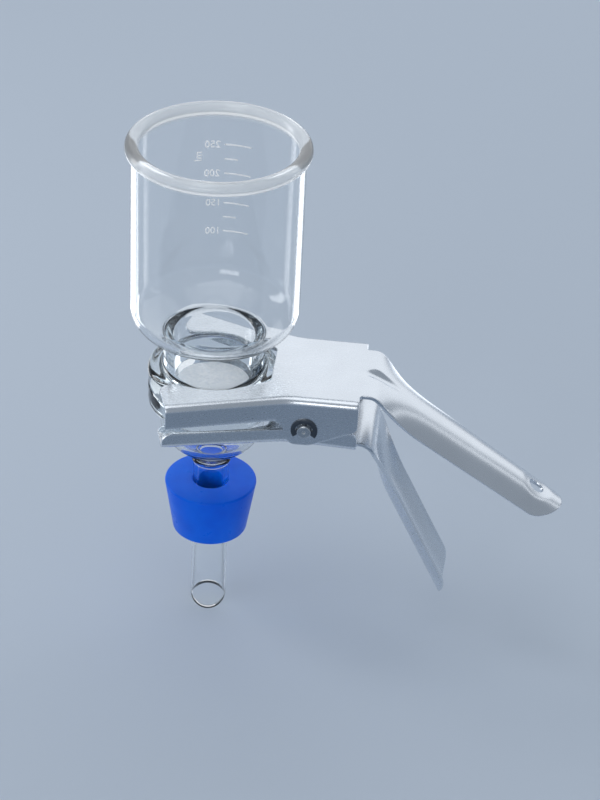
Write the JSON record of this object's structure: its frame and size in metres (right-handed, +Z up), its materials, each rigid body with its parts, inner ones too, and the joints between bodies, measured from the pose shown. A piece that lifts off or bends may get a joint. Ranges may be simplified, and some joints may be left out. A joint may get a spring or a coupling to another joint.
{
  "type": "vacuum filtration unit",
  "caption": "All-glass vacuum filter holder: graduated funnel and fritted base on a stopper, held together by a sprung aluminium clamp with two handles.",
  "frame": {"origin": "on the glass axis at the stopper's mid-height, where a flask's mouth grips it", "axes": "+Z up along the glass axis, +X from the axis towards the clamp's handles"},
  "size_m": [0.1945, 0.0832, 0.236],
  "materials": {
    "clear_glass": "clear blown borosilicate glass, fire polished",
    "white_enamel": "fired white enamel",
    "sintered_glass": "matt sintered glass, ground flat",
    "blue_silicone": "smooth silicone rubber, soft sheen",
    "satin_aluminium": "satin anodised aluminium sheet",
    "bright_steel": "bright zinc-plated steel",
    "dark_steel": "blackened spring steel"
  },
  "bodies": {
    "root": {"funnel": "clear_glass", "graduation_marks": "white_enamel", "base": "clear_glass", "frit_disc": "sintered_glass", "stopper": "blue_silicone", "upper_jaw": "satin_aluminium", "pivot_pin": "bright_steel", "retaining_clip": "dark_steel", "torsion_spring": "bright_steel"},
    "lower_jaw": {"lower_jaw": "satin_aluminium"}
  },
  "joints": [
    {"name": "jaw_pivot", "type": "hinge", "parent": "root", "child": "lower_jaw", "pos_m": [0.0425, 0, 0.06005], "axis": [0, -1, 0], "range_deg": [0, 24], "stiffness_Nm_per_rad": 1.2, "springref_deg": -34.38, "deforming": ["torsion_spring"]}
  ]
}
